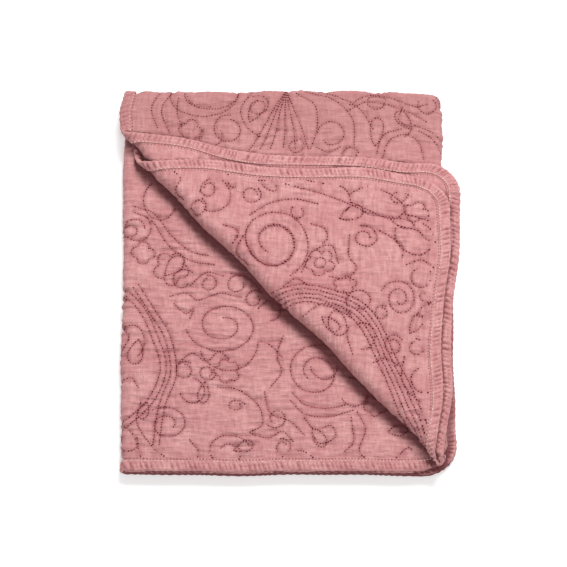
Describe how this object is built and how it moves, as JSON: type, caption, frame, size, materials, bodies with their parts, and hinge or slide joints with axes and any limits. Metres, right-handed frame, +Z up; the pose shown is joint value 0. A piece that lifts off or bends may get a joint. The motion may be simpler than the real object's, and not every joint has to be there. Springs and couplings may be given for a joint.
{
  "type": "folded quilted blanket",
  "caption": "Quilted cotton cot blanket with a bound edge, folded flat, one corner of its top third turned back.",
  "frame": {"origin": "under the middle of the folded stack, on the surface that it lies on", "axes": "+X to the right along the shorter side of the stack, +Y to the back fold, +Z up"},
  "size_m": [0.3454, 0.4053, 0.0388],
  "materials": {
    "quilt_panel": "washed cotton, dusty rose, matte, machine quilted in scrolls",
    "edge_binding": "washed cotton strip, dusty rose, matte, puckered"
  },
  "bodies": {
    "root": {"quilt_panel": "quilt_panel", "edge_binding": "edge_binding"}
  },
  "joints": []
}
